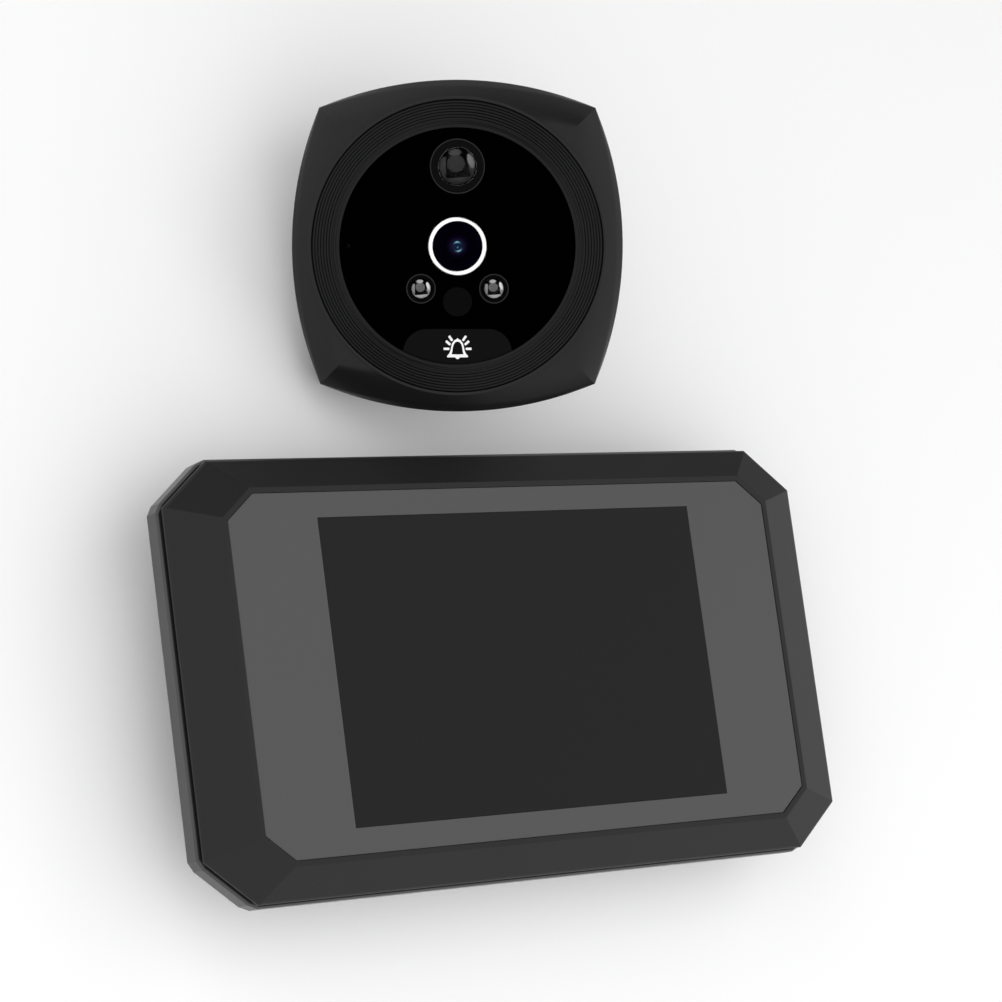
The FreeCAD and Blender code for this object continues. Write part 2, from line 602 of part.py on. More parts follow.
def make_sensors():
    high = d.glass_high
    board = d.head_board_low + 1.2
    r = d.motion_dome_r
    y = d.motion_y
    node("motion_ring", washer(0, y, r + 0.08, d.motion_ring_r, 0.2), True)
    node("motion_dome", lathe([(0, 9.35), (3.9, 9.35), (3.9, 9.95), (r, 9.95), (r, 11.0), (r * 0.83, 12.0),
                               (r * 0.5, 12.8), (0, 13.15)], 0, y), True)
    node("motion_sensor", cyl(0, y, board, 9.3, 4.0), True)

    collars = []
    lamps = []
    r = d.lamp_dome_r
    for sx in (-1, 1):
        x = sx * d.lamp_x
        collars.append(washer(x, d.lamp_y, r + 0.08, d.lamp_ring_r, 0.18))
        bulb = lathe([(0, 7.4), (r, 7.4), (r, 11.2), (r * 0.7, 12.1), (0, 12.46)], x, d.lamp_y)
        legs = [box(x + side - 0.25, x + side + 0.25, d.lamp_y - 0.25, d.lamp_y + 0.25, board, 7.5)
                for side in (-0.9, 0.9)]
        lamps.append(fuse(bulb, *legs))
    node("lamp_collars", group(*collars), True)
    node("infrared_lamps", group(*lamps), True)
    node("light_window", cyl(0, d.sensor_y, d.glass_low, high, d.sensor_r), True)
    node("light_sensor", box(-1.0, 1.0, d.sensor_y - 1.0, d.sensor_y + 1.0, board, board + 0.8), True)
    node("microphone", cyl(-16.6, 0, board, 8.3, 1.9), True)


def make_head_board():
    low = d.head_board_low
    disc = cyl(0, 0, low, low + 1.2, d.head_board_r)
    node("head_board", cut(disc, *[box(sx * 21.5 - 1.2, sx * 21.5 + 1.2, -2, 2, 3, 8) for sx in (-1, 1)]), True)
    socket = box(-5, 5, -1.8, 1.8, low - 1.15, low)
    node("head_ribbon_socket", cut(socket, box(-4.2, 4.2, -0.9, 0.9, 2.0, low - 0.4)), True)


make_screen_unit()
make_rear_shell()
make_monitor_inside()
make_moving_monitor_pieces()
make_bracket()
make_head_case()
make_window()
make_stem()
make_bell_button()
make_lens()
make_sensors()
make_head_board()
doc.recompute()

faults = []
for item in doc.Objects:
    if "Invalid" in item.State or "Error" in item.State:
        faults.append("%s (%s) %s" % (item.Name, item.Label, item.State))
os.makedirs("parts", exist_ok=True)
for item in nodes:
    if item.Shape.isNull() or not item.Shape.isValid():
        faults.append(item.Label + " has no valid shape")
        continue
    item.Shape.exportStep("parts/%s.step" % item.Label)
if faults:
    raise RuntimeError("; ".join(faults))
print("pieces:", len(nodes))
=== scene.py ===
"""Looks of the peephole door camera kit: screen unit, wall bracket and outdoor camera head.

Shapes are worked out in millimetres and put into the meshes in metres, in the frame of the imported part. Head
pieces are made in the head's own frame, height 0 at the face that goes against the door, and then turned.
"""
import json
import math

import bmesh
import bpy
import numpy as np
from mathutils import Matrix, Vector


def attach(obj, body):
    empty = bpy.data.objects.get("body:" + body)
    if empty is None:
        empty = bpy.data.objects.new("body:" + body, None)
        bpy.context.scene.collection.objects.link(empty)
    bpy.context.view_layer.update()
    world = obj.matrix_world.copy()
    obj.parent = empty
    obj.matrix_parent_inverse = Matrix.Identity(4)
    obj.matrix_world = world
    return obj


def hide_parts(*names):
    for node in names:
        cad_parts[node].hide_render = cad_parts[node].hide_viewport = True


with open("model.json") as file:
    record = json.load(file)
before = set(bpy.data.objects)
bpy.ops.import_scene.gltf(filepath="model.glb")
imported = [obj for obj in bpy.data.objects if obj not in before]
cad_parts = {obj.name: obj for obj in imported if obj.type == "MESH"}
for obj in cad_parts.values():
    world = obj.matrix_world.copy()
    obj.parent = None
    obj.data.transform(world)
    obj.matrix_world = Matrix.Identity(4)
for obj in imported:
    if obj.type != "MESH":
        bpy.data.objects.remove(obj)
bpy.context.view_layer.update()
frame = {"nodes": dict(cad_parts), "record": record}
NODES = frame["nodes"]
BODY_OF = {n: b for b, names in frame["record"]["behaviour"]["bodies"].items() for n in names}
SLOT_OF = {s["node"]: s["material_slot"] for s in frame["record"]["subparts"]}

MM = 0.001
HEAD = (Matrix.Translation(Vector((-1.30, 69.84, 17.598)))
        @ Matrix.Rotation(math.radians(-158.30), 4, "Z")
        @ Matrix.Rotation(math.radians(37.16), 4, "Y")
        @ Matrix.Rotation(math.radians(154.87), 4, "Z"))
HEAD_TURN = np.array(HEAD.to_3x3())
HEAD_PLACE = np.array(HEAD.translation)


# camera, light and floor

def make_camera():
    """The photograph's view, fitted to the corners of the screen unit: a focal length in pixels of a picture
    1002 wide, a turn, and where the middle of the lip's top lies in front of the camera."""
    sensor, focal, picture = 36.0, 3331.377, 1002
    data = bpy.data.cameras.new("camera")
    data.sensor_width = sensor
    data.lens = sensor * focal / picture
    data.clip_end = 10.0
    camera = bpy.data.objects.new("camera", data)
    turn = Matrix(((0.820037, 0.023311, -0.571835),
                   (-0.130616, 0.980423, -0.147342),
                   (0.557206, 0.195517, 0.807028)))
    back = turn @ Vector((4.5972, -25.6987, -539.539))
    place = (Vector((0, 0, LIP_Z)) - back) * MM
    camera.matrix_world = Matrix.Translation(place) @ turn.to_4x4()
    bpy.context.scene.collection.objects.link(camera)
    bpy.context.scene.camera = camera


# shader maths

class Sock:
    """One shader output; arithmetic on it adds Math nodes to its material."""

    def __init__(self, finish, out):
        self.finish = finish
        self.out = out

    def math(self, kind, first, second):
        """One Math node of the given operation."""
        return self.finish.add("ShaderNodeMath", {"operation": kind}, {0: first, 1: second})

    def __add__(self, other):
        return self.math("ADD", self, other)

    __radd__ = __add__

    def __sub__(self, other):
        return self.math("SUBTRACT", self, other)

    def __rsub__(self, other):
        return self.math("SUBTRACT", other, self)

    def __mul__(self, other):
        return self.math("MULTIPLY", self, other)

    __rmul__ = __mul__

    def step(self, low, high):
        """0 below low, 1 above high and smooth between."""
        return self.finish.add("ShaderNodeMapRange", {"interpolation_type": "SMOOTHSTEP"},
                               {"Value": self, "From Min": low, "From Max": high})


class Finish:
    """A material around one Principled shader, with its nodes made by one method."""

    def __init__(self, name, **constants):
        self.material = bpy.data.materials.new(name)
        self.material.use_nodes = True
        self.tree = self.material.node_tree
        self.shader = self.tree.nodes["Principled BSDF"]
        self.where = self.add("ShaderNodeTexCoord", out="Object")
        for key, value in constants.items():
            self.shader.inputs[key.replace("_", " ")].default_value = value

    def add(self, kind, settings=None, inputs=None, out=0):
        """Adds a node: its settings first, then the values or links of its sockets."""
        node = self.tree.nodes.new(kind)
        for key, value in (settings or {}).items():
            setattr(node, key, value)
        for key, value in (inputs or {}).items():
            self.feed(node.inputs[key], value)
        return Sock(self, node.outputs[out])

    def feed(self, socket, value):
        """Links a shader output to a socket, or sets the socket to a plain value."""
        if isinstance(value, Sock):
            self.tree.links.new(value.out, socket)
        else:
            socket.default_value = value

    def drive(self, **links):
        """Feeds the shader's own sockets and returns the finished material."""
        for key, value in links.items():
            self.feed(self.shader.inputs[key.replace("_", " ")], value)
        return self.material

    def noise(self, scale, detail=2.0, where=None):
        """Soft noise, about 0.5 in the mean, with scale waves in a metre."""
        return self.add("ShaderNodeTexNoise", {}, {"Vector": where or self.where, "Scale": scale,
                                                   "Detail": detail})

    def stretched(self, x, y, z):
        """Object coordinates scaled differently along each axis, for brushed lines."""
        return self.add("ShaderNodeVectorMath", {"operation": "MULTIPLY"}, {0: self.where, 1: (x, y, z)})

    def height(self):
        """Height above the table, in metres."""
        return self.add("ShaderNodeSeparateXYZ", {}, {0: self.where}, out="Z")

    def across(self):
        """Place along the screen unit's width, in metres."""
        return self.add("ShaderNodeSeparateXYZ", {}, {0: self.where}, out="X")

    def mix(self, factor, first, second):
        """Colour between two colours."""
        return self.add("ShaderNodeMix", {"data_type": "RGBA"}, {0: factor, 6: first, 7: second}, out=2)

    def bump(self, height, depth):
        """Surface normal raised by height times a depth in millimetres."""
        return self.add("ShaderNodeBump", {}, {"Height": height, "Distance": depth * MM, "Strength": 1.0})

    def attribute(self, name):
        """A value stored at the mesh's points."""
        return self.add("ShaderNodeAttribute", {"attribute_name": name}, out="Fac")


def grey(level):
    """Neutral colour, linear."""
    return (level, level, level, 1.0)


def tone(level, tint=(1.0, 1.0, 1.0)):
    """Tinted colour, linear."""
    return (level * tint[0], level * tint[1], level * tint[2], 1.0)


COOL = (1.0, 1.0, 1.03)


def moulded(name, level, rough, grain=2600.0, depth=0.006, tint=COOL, gloss=0.3):
    """Moulded plastic: slow mottling of tone, finer mottling of gloss and a fine spark-eroded grain."""
    f = Finish(name, Specular_IOR_Level=gloss)
    slow = f.noise(35.0, 3.0)
    fine = f.noise(grain, 2.0)
    wear = f.noise(420.0, 4.0)
    colour = f.mix(slow.step(0.3, 0.7), tone(level * 0.93, tint), tone(level * 1.07, tint))
    dusted = f.mix(wear.step(0.62, 0.9) * 0.25, colour, tone(level * 1.35, tint))
    sheen = rough + (slow - 0.5) * 0.06 + (fine - 0.5) * 0.10
    return f.drive(Base_Color=dusted, Roughness=sheen, Normal=f.bump(fine, depth))


def glossy(name, level, rough, tint=(1.0, 1.0, 1.0)):
    """Black lacquer or anodising, without mirror gloss: faint smears, specks of dust and a fine ripple."""
    f = Finish(name, Specular_IOR_Level=0.0)
    smear = f.noise(70.0, 4.0, f.stretched(1.0, 3.0, 1.0))
    specks = f.noise(2300.0, 1.0)
    peel = f.noise(260.0, 1.0)
    colour = f.mix(specks.step(0.74, 0.8) * 0.3, tone(level, tint), tone(level * 1.5 + 0.0012, tint))
    sheen = rough + (smear.step(0.45, 0.75)) * 0.04
    return f.drive(Base_Color=colour, Roughness=sheen, Normal=f.bump(peel, 0.0012))


def metal(name, level, rough, lines=(1.0, 40.0, 1.0), tint=(1.0, 1.0, 1.0), scale=160.0, depth=0.0015):
    """Drawn or turned metal: fine lines along one way, small stains and a soft change of gloss."""
    f = Finish(name, Metallic=1.0)
    drawn = f.noise(scale, 4.0, f.stretched(*lines))
    stain = f.noise(55.0, 3.0)
    colour = f.mix(stain.step(0.35, 0.7), tone(level * 0.9, tint), tone(level, tint))
    lined = f.mix(drawn.step(0.55, 0.8) * 0.35, colour, tone(level * 0.72, tint))
    sheen = rough + (drawn - 0.5) * 0.16 + (stain - 0.5) * 0.08
    return f.drive(Base_Color=lined, Roughness=sheen, Normal=f.bump(drawn, depth))


def clear(name):
    """Clear moulding with faint flow lines. Its index is low, so no veil of light hides what it covers."""
    f = Finish(name, Transmission_Weight=1.0, IOR=1.15)
    flow = f.noise(300.0, 2.0, f.stretched(1.0, 1.0, 3.0))
    colour = f.mix(flow.step(0.3, 0.8), grey(0.99), grey(0.99 * 0.94))
    return f.drive(Base_Color=colour, Roughness=flow * 0.02)


def board_finish():
    """Circuit board: green mask over raised tracks, with tinned pads here and there."""
    f = Finish("solder_mask", Specular_IOR_Level=0.5)
    tracks = f.add("ShaderNodeTexBrick", {"offset": 0.37},
                   {"Vector": f.where, "Scale": 210.0, "Mortar Size": 0.12, "Row Height": 0.5}, out="Fac")
    pads = f.add("ShaderNodeTexVoronoi", {}, {"Vector": f.where, "Scale": 520.0}, out="Distance")
    tin = 1.0 - pads.step(0.10, 0.14)
    mask = f.mix(tracks, (0.012, 0.11, 0.045, 1.0), (0.03, 0.20, 0.08, 1.0))
    colour = f.mix(tin, mask, grey(0.62))
    return f.drive(Base_Color=colour, Roughness=0.32 + tracks * 0.12, Metallic=tin,
                   Normal=f.bump(tracks + tin, 0.02))


def foam_finish():
    """Closed-cell foam: small dark cells with a matt skin."""
    f = Finish("cell_foam", Specular_IOR_Level=0.2)
    cells = f.add("ShaderNodeTexVoronoi", {}, {"Vector": f.where, "Scale": 2600.0}, out="Distance")
    colour = f.mix(cells.step(0.1, 0.6), grey(0.012), grey(0.035))
    return f.drive(Base_Color=colour, Roughness=0.85 + cells * 0.1, Normal=f.bump(cells, 0.05))


def printed_panel():
    """Front plate printed in one flat grey behind a matt film."""
    f = Finish("printed_panel", Specular_IOR_Level=0.12)
    slow = f.noise(18.0, 2.0)
    film = f.noise(5200.0, 1.0)
    tint = (1.0, 1.0, 1.005)
    colour = f.mix(slow, tone(0.087, tint), tone(0.090, tint))
    return f.drive(Base_Color=colour, Roughness=0.56 + film * 0.06, Normal=f.bump(film, 0.0008))


def shell_finish():
    """Rear shell: smooth moulding. Its rim top, under the bezel, is painted near black and matt as the shade
    in the parting gap.
    """
    f = Finish("shell_grey", Specular_IOR_Level=0.4)
    # Painted shade: above 15.6 mm the shell's colour goes near black, standing for the shadow in the gap under
    # the bezel.
    painted_rim_shading = f.height().step(0.01560, 0.01578)
    slow = f.noise(35.0, 3.0)
    fine = f.noise(2400.0, 2.0)
    colour = f.mix(slow.step(0.3, 0.7), tone(0.043, COOL), tone(0.049, COOL))
    return f.drive(Base_Color=f.mix(painted_rim_shading, colour, grey(0.0012)), Roughness=0.30 + fine * 0.05 + painted_rim_shading * 0.55,
                   Normal=f.bump(fine, 0.004))


def display_finish():
    """Dark display behind glass: very faint columns of pixels under a smooth film."""
    f = Finish("dark_display", Specular_IOR_Level=0.1)
    phase = f.across() * 9800.0
    column = phase.math("SINE", phase, 0.0)
    slow = f.noise(14.0, 2.0)
    level = f.mix(slow, grey(0.0125), grey(0.0135))
    colour = f.mix(column.step(0.0, 1.0) * 0.2, level, grey(0.0155))
    return f.drive(Base_Color=colour, Roughness=0.5 + slow * 0.05)


def cell_finish():
    """Dry cell: lacquered sleeve with a darker band, bare metal where the attribute says so."""
    f = Finish("dry_cell", Specular_IOR_Level=0.5)
    bare = f.attribute("bare")
    band = f.attribute("band")
    haze = f.noise(240.0, 3.0)
    sleeve = f.mix(band, (0.035, 0.05, 0.07, 1.0), (0.42, 0.44, 0.46, 1.0))
    colour = f.mix(bare, sleeve, grey(0.62))
    return f.drive(Base_Color=colour, Metallic=bare, Roughness=0.24 + haze * 0.14 + bare * 0.05)


def lens_finish():
    """Coated front element: deep blue-violet, with two thin arcs and a spot of glint painted into its colour.
    """
    f = Finish("coated_lens", Specular_IOR_Level=0.03)
    across = f.attribute("across")
    along = f.attribute("along")
    colour = f.mix(across.step(0.15, 0.7), (0.004, 0.012, 0.045, 1.0), (0.003, 0.0012, 0.011, 1.0))
    # Painted glint: the along attribute mixes thin pale blue arcs and a spot into the colour.
    painted_glint_arcs = f.mix(along, colour, (0.30, 0.62, 0.80, 1.0))
    return f.drive(Base_Color=painted_glint_arcs, Roughness=0.05 + across * 0.05)


def painted_reflections_finish():
    """Reflections and a glint painted on a disc inside a clear dome; the attribute gives the painted tone at
    each point.
    """
    f = Finish("painted_dome_reflections", Specular_IOR_Level=0.0)
    cloud = f.noise(900.0, 2.0)
    # The level attribute carries the painted reflections and glint.
    colour = f.mix(f.attribute("level"), grey(0.0), grey(1.0))
    clouded = f.mix(cloud.step(0.4, 0.8) * 0.04, colour, grey(0.0))
    return f.drive(Base_Color=clouded, Roughness=0.6 + cloud * 0.1)


def collar_finish():
    """Dark collars whose thin rim is painted paler, as a highlight, where the attribute says so."""
    f = Finish("collar_dark", Specular_IOR_Level=0.02)
    fine = f.noise(3600.0, 2.0)
    # Painted highlight: the attribute lifts the rim's colour, standing for light caught by its slanted faces.
    colour = f.mix(f.attribute("painted_rim_shading"), grey(0.0012), grey(0.024))
    return f.drive(Base_Color=colour, Roughness=0.45 + fine * 0.1, Normal=f.bump(fine, 0.002))


def white_print():
    """White ink, a little uneven."""
    f = Finish("white_print", Specular_IOR_Level=0.3)
    edge = f.noise(1800.0, 2.0)
    colour = f.mix(edge.step(0.3, 0.8), grey(0.86), grey(0.93))
    return f.drive(Base_Color=colour, Roughness=0.45 + edge * 0.1, Normal=f.bump(edge, 0.002))


MATERIALS = {
    "case_black": moulded("case_black", 0.0125, 0.40, 2400.0, 0.004, gloss=0.22),
    "head_black": moulded("head_black", 0.0080, 0.36, 2600.0, 0.004, gloss=0.22),
    "ring_black": moulded("ring_black", 0.0055, 0.34, 3000.0, 0.003, gloss=0.16),
    "shell_grey": shell_finish(),
    "panel_grey": printed_panel(),
    "screen_dark": display_finish(),
    "window_black": glossy("window_black", 0.0002, 0.03),
    "button_grey": moulded("button_grey", 0.0030, 0.5, 3600.0, 0.002, gloss=0.04),
    "silver_ring": metal("silver_ring", 0.93, 0.22, (1.0, 1.0, 1.0), (1.0, 1.0, 1.0), 900.0, 0.001),
    "lens_black": glossy("lens_black", 0.0011, 0.25, (1.0, 0.4, 2.7)),
    "clear_glass": lens_finish(),
    "clear_dome": clear("clear_dome"),
    "lamp_clear": clear("lamp_clear"),
    "collar_dark": collar_finish(),
    "sensor_grey": moulded("sensor_grey", 0.0022, 0.5, 3600.0, 0.001, gloss=0.02),
    "board_green": board_finish(),
    "chip_black": moulded("chip_black", 0.02, 0.55, 3000.0, 0.006),
    "socket_cream": moulded("socket_cream", 0.62, 0.45, 2600.0, 0.004, (1.0, 0.94, 0.78), 0.45),
    "steel": metal("steel", 0.58, 0.34, (1.0, 30.0, 1.0)),
    "screw_steel": metal("screw_steel", 0.42, 0.30, (8.0, 8.0, 1.0)),
    "spring_steel": metal("spring_steel", 0.66, 0.25, (1.0, 6.0, 6.0)),
    "stem_brass": metal("stem_brass", 0.60, 0.27, (1.0, 1.0, 12.0), (1.0, 0.97, 0.90)),
    "foam": foam_finish(),
    "cell_wrap": cell_finish(),
    "lcd_metal": metal("lcd_metal", 0.55, 0.38, (30.0, 1.0, 1.0)),
    "switch_black": moulded("switch_black", 0.022, 0.5, 3000.0, 0.005),
    "sensor_can": metal("sensor_can", 0.55, 0.28, (1.0, 1.0, 8.0)),
}
WHITE_PRINT = white_print()
PAINTED_REFLECTIONS = painted_reflections_finish()


# surfaces

def grid_quads(rows, cols, loop_rows, loop_cols):
    """Quads of a rows by cols grid of points, closed on itself where asked."""
    down = np.arange(rows if loop_rows else rows - 1)
    along = np.arange(cols if loop_cols else cols - 1)
    i, j = np.meshgrid(down, along, indexing="ij")
    below = (i + 1) % rows
    beside = (j + 1) % cols
    quads = np.stack((i * cols + j, i * cols + beside, below * cols + beside, below * cols + j), axis=-1)
    return quads.reshape(-1, 4)


def skin(grid, loop_rows=False, loop_cols=True):
    """Points and quads of a grid of shape rows, columns, 3."""
    rows, cols = grid.shape[:2]
    return grid.reshape(-1, 3), grid_quads(rows, cols, loop_rows, loop_cols)


def soften(rows, radius, steps=4, closed=True):
    """Rounds a profile. Each row of points becomes a quadratic Bezier that leaves the run before it and
    joins the run after it at the radius, or at 0.45 of the run where that is shorter."""
    rows = np.asarray(rows, float)
    reach = np.broadcast_to(np.asarray(radius, float), (len(rows),)).reshape((-1,) + (1,) * (rows.ndim - 2))
    before = np.roll(rows, 1, axis=0) - rows
    after = np.roll(rows, -1, axis=0) - rows
    start = rows + before * shorten(before, reach)[..., None]
    stop = rows + after * shorten(after, reach)[..., None]
    if not closed:
        start[0] = stop[0] = rows[0]
        start[-1] = stop[-1] = rows[-1]
    t = np.linspace(0, 1, steps).reshape((1, -1) + (1,) * (rows.ndim - 1))
    start, middle, stop = start[:, None], rows[:, None], stop[:, None]
    curve = start * (1 - t) ** 2 + middle * 2 * t * (1 - t) + stop * t ** 2
    return curve.reshape((-1,) + rows.shape[1:])


def shorten(run, reach):
    """Share of each run that the reach covers, at most 0.45."""
    length = np.maximum(np.linalg.norm(run, axis=-1), 1e-9)
    return np.minimum(reach / length, 0.45)


def turned(profile, x=0.0, y=0.0, count=96):
    """A profile of radius and height carried round an upright axis: radius cos, radius sin, height."""
    profile = np.asarray(profile, float)
    turn = np.linspace(0, 2 * np.pi, count, endpoint=False)
    r = profile[:, :1]
    z = np.repeat(profile[:, 1:2], count, axis=1)
    return np.stack((x + r * np.cos(turn), y + r * np.sin(turn), z), axis=-1)


def round_row(turn, r, z):
    """Row of points at the given angles: radius cos, radius sin, height. Both may change with the angle."""
    return np.stack((r * np.cos(turn), r * np.sin(turn), z + 0 * turn), axis=-1)


def lay_along_x(grid, x, y, z):
    """Turns a grid made about the upright axis so that its axis lies along X from the given point."""
    return np.stack((x + grid[..., 2], y + grid[..., 0], z + grid[..., 1]), axis=-1)


def build(name, skins, node, finish=None, head=False, sharp=32.0, width=0.0, attributes=None, replace=True):
    """Makes one mesh of the skins, in place of a CAD node, riding on that node's body. Head pieces are
    turned into their place. Attributes hold one value for each point of the skins, in their order."""
    starts = np.cumsum([0] + [len(p) for p, _ in skins[:-1]])
    points = np.concatenate([p for p, _ in skins])
    quads = np.concatenate([q + start for (_, q), start in zip(skins, starts)])
    if head:
        points = points @ HEAD_TURN.T + HEAD_PLACE
    mesh = bpy.data.meshes.new(name)
    mesh.from_pydata((points * MM).tolist(), [], quads.tolist())
    for key, values in (attributes or {}).items():
        layer = mesh.attributes.new(key, "FLOAT", "POINT")
        layer.data.foreach_set("value", np.asarray(values, np.float32))
    finish_piece(name, mesh, node, finish, sharp, width, replace)


def finish_piece(name, mesh, node, finish, sharp, width, replace=True):
    """Gives a mesh its material and edges, softened where width is given, and puts it on its node's body."""
    tidy(mesh)
    mesh.materials.append(finish or MATERIALS[SLOT_OF[node]])
    mesh.shade_smooth()
    piece = bpy.data.objects.new(name, mesh)
    bpy.context.scene.collection.objects.link(piece)
    if width:
        bevel = piece.modifiers.new("edges", "BEVEL")
        bevel.width = width * MM
        bevel.segments = 3
        bevel.limit_method = "ANGLE"
        bevel.angle_limit = math.radians(sharp)
        weighted = piece.modifiers.new("normals", "WEIGHTED_NORMAL")
        weighted.keep_sharp = False
    else:
        mesh.set_sharp_from_angle(angle=math.radians(sharp))
    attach(piece, BODY_OF[node])
    if replace:
        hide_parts(node)


def tidy(mesh):
    """Merges doubled points, such as poles and closed seams, and turns the faces outwards."""
    work = bmesh.new()
    work.from_mesh(mesh)
    bmesh.ops.remove_doubles(work, verts=work.verts, dist=1e-6)
    bmesh.ops.recalc_face_normals(work, faces=work.faces)
    work.to_mesh(mesh)
    work.free()


def dress(node, width=0.12, sharp=28.0, finish=None, sink=None):
    """Copy of a CAD piece, its doubles merged and its edges softened, in place of the piece. With sink, all
    that lies above its first height is lowered by its second."""
    mesh = NODES[node].data.copy()
    mesh.materials.clear()
    if sink:
        places = np.empty(len(mesh.vertices) * 3, np.float32)
        mesh.vertices.foreach_get("co", places)
        places[2::3] -= (places[2::3] > sink[0] * MM) * sink[1] * MM
        mesh.vertices.foreach_set("co", places)
    work = bmesh.new()
    work.from_mesh(mesh)
    bmesh.ops.remove_doubles(work, verts=work.verts, dist=1e-6)
    bmesh.ops.dissolve_limit(work, angle_limit=math.radians(0.6), verts=work.verts, edges=work.edges)
    work.to_mesh(mesh)
    work.free()
    for key in ("sharp_edge", "sharp_face", "custom_normal"):
        if key in mesh.attributes:
            mesh.attributes.remove(mesh.attributes[key])
    finish_piece(node + "_dressed", mesh, node, finish, sharp, width)


# screen unit, in outlines of half width, half height and corner cut

CUT_RATIO = 0.847
SEAT = (53.01, 28.61, 4.9)
LIP = (53.9, 29.5, 5.43)
TRIM = (61.75, 34.305, 8.35)
EDGE = (62.15, 34.55, 8.5)
SLOPE_TOP = (52.2, 28.2, 4.9)
OPENING = (51.35, 26.95, 4.2)
PLATE = (52.95, 28.55, 4.9)
SCREEN = (36.72, 24.48)
PLATE_LOW, PLATE_HIGH, LIP_Z = 18.9, 20.4, 20.5
POSTS = [(sx * 48.6, sy * 23.6) for sx in (-1, 1) for sy in (-1, 1)]
CELL_PITCH, CELL_Z = 10.8, 8.4


def octagon_loop(w, h, c, z):
    """Eight-sided outline with its corners cut by c and c times the ratio, at height z."""
    e = c * CUT_RATIO
    corners = [(w, -h + e), (w, h - e), (w - c, h), (-w + c, h), (-w, h - e), (-w, -h + e), (-w + c, -h),
               (w - c, -h)]
    return np.array([(x, y, z) for x, y in corners])


def edge_loop(inset, z):
    """The bezel's outer edge drawn in on all sides, at height z."""
    w, h, c = EDGE
    return octagon_loop(w - inset, h - inset, c - 0.45 * inset, z)


def make_screen_bezel():
    """Closed frame: one profile of eight-sided loops from the seat of the front plate over the flat lip,
    down the facets, round the outer edge and the dark parting line and back inside. The posts are turned."""
    rows = np.stack((
        octagon_loop(*SEAT, PLATE_LOW), octagon_loop(*SEAT, LIP_Z), octagon_loop(*LIP, LIP_Z),
        octagon_loop(*TRIM, 17.265), edge_loop(0, 16.95), edge_loop(0, 16.4), edge_loop(1.0, 16.4),
        edge_loop(1.0, 12.6), edge_loop(2.2, 12.6), edge_loop(2.2, 15.9), octagon_loop(*SLOPE_TOP, 18.3),
        octagon_loop(*OPENING, 18.3), octagon_loop(*OPENING, PLATE_LOW)))
    post = [(0.97, 16.0), (0.97, 10.0), (2.6, 10.0), (2.6, 18.2), (0.0, 18.2), (0.0, 16.0)]
    posts = [skin(turned(post, x, y, 32), True) for x, y in POSTS]
    build("screen_bezel", [skin(rows, True)] + posts, "monitor_bezel", sharp=12.0, width=0.09)


def make_front_plate():
    """Eight-sided plate with a four-sided opening. Points are put in the middle of the plate's cut corners,
    beside the opening's corners, so that the outer and the inner loop have the same number of points."""
    corners = octagon_loop(*PLATE, 0.0)
    w, h = SCREEN
    beside = np.array([(w, -h * 0.7, 0), (w, h * 0.7, 0), (w * 0.7, h, 0), (-w * 0.7, h, 0),
                       (-w, h * 0.7, 0), (-w, -h * 0.7, 0), (-w * 0.7, -h, 0), (w * 0.7, -h, 0)])
    outer = []
    inner = []
    for k in range(8):
        outer.append(corners[k])
        inner.append(beside[k])
        if k % 2:
            outer.append((corners[k] + corners[(k + 1) % 8]) / 2)
            inner.append(np.append(np.sign(beside[k][:2]) * SCREEN, 0.0))
    outer = np.array(outer)
    inner = np.array(inner)
    low, high = (0, 0, PLATE_LOW), (0, 0, PLATE_HIGH)
    rows = np.stack((outer + low, outer + high, inner + high, inner + low))
    build("front_plate", [skin(rows, True)], "front_panel", sharp=30.0, width=0.08)


def make_springs():
    """Coil springs: a round wire carried along a helix of 4.5 turns that narrows towards the cell."""
    wire = 0.22
    share = np.linspace(0, 1, 90)[:, None]
    turn = share * 2 * np.pi * 4.5
    a = np.linspace(0, 2 * np.pi, 8, endpoint=False)[None, :]
    skins = []
    for lane, start, stop, narrowing in ((-1, -44.4, -41.0, share), (0, 0.3, 3.7, 1 - share),
                                         (1, -44.4, -41.0, share)):
        r = 2.35 - 0.9 * narrowing + wire * np.cos(a)
        x = start + 0.25 + (stop - start - 0.5) * share + wire * np.sin(a)
        grid = np.stack((x, lane * CELL_PITCH + r * np.cos(turn), CELL_Z + r * np.sin(turn)), axis=-1)
        skins.append(skin(grid))
    build("coil_springs", skins, "battery_springs", sharp=60.0)


def make_cells():
    """Three dry cells: sleeve with rolled ends, bare shoulders and a button pole. The middle one is turned
    end for end. Their attributes say where the metal is bare and where the sleeve's band starts."""
    long = 43.7
    profile = soften([(0, 0.15), (3.6, 0.15), (4.4, 0.0), (5.1, 0.0), (5.25, 0.5), (5.25, 43.2), (5.1, long),
                      (2.6, long), (2.6, 43.55), (1.9, 43.6), (1.9, 44.4), (0, 44.5)], 0.2, 3, closed=False)
    low = profile[:, 1] < 20.0
    rows = np.concatenate((profile[low], [(5.25, 32.9), (5.25, 33.0)], profile[~low]))
    bare = (rows[:, 0] < 4.9) * 1.0
    band = (rows[:, 1] > 32.95) * 1.0
    around = 48
    skins = []
    for lane in (-1, 0, 1):
        grid = turned(rows, count=around)
        start = -41.0
        if lane == 0:
            grid = grid * (1, 1, -1) + (0, 0, long)
            start = -43.4
        skins.append(skin(lay_along_x(grid, start, lane * CELL_PITCH, CELL_Z)))
    build("dry_cells", skins, "battery_cells", sharp=40.0,
          attributes={"bare": np.tile(np.repeat(bare, around), 3),
                      "band": np.tile(np.repeat(band, around), 3)})


